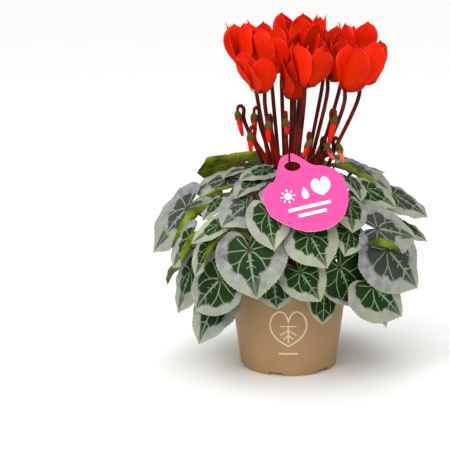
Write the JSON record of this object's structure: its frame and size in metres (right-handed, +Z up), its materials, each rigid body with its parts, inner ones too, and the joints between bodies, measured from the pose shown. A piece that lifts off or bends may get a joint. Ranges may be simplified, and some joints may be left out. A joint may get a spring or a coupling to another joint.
{
  "type": "potted cyclamen",
  "caption": "Flowering florist's cyclamen in a plain tapered pot, with silver-edged heart leaves, red upswept blooms, hanging buds and a pink care tag.",
  "frame": {"origin": "centre of the pot's underside, on the surface that it stands on", "axes": "+Z up, +X to the right and -Y towards the viewer of the picture, where the care tag lies"},
  "size_m": [0.2869, 0.2637, 0.369],
  "materials": {
    "pot": "matt kraft-brown with a fibre speckle",
    "soil": "loose dark peat potting mix",
    "tuber": "rough corky skin",
    "leaf": "satin leaf, dark green centre, silver margin, pale veins",
    "stalk": "satin dark maroon stems",
    "petal": "soft velvety scarlet petal",
    "bud": "soft furled scarlet petal",
    "tag": "smooth coated pink card with a white print"
  },
  "bodies": {
    "root": {"pot": "pot", "soil": "soil", "tuber": "tuber", "flower_stalks": "stalk", "tag": "tag", "leaf_01": "leaf", "leaf_02": "leaf", "leaf_03": "leaf", "leaf_04": "leaf", "leaf_05": "leaf", "leaf_06": "leaf", "leaf_07": "leaf", "leaf_08": "leaf", "leaf_09": "leaf", "leaf_10": "leaf", "leaf_11": "leaf", "leaf_12": "leaf", "leaf_13": "leaf", "leaf_14": "leaf", "leaf_15": "leaf", "leaf_16": "leaf", "leaf_17": "leaf", "leaf_18": "leaf", "leaf_19": "leaf", "leaf_20": "leaf", "leaf_21": "leaf", "leaf_22": "leaf", "leaf_23": "leaf", "leaf_24": "leaf", "leaf_25": "leaf", "leaf_26": "leaf", "leaf_27": "leaf", "leaf_28": "leaf", "leaf_29": "leaf", "bloom_01": "petal", "bloom_02": "petal", "bloom_03": "petal", "bloom_04": "petal", "bloom_05": "petal", "bloom_06": "petal", "bloom_07": "petal", "bloom_08": "petal", "bloom_09": "petal", "bloom_10": "petal", "bloom_11": "petal", "bloom_12": "petal", "bloom_13": "petal", "bloom_14": "petal", "bud_01": "bud", "bud_02": "bud", "bud_03": "bud", "bud_04": "bud", "bud_05": "bud", "bud_06": "bud", "bud_07": "bud", "bud_08": "bud", "bud_09": "bud"}
  },
  "joints": []
}
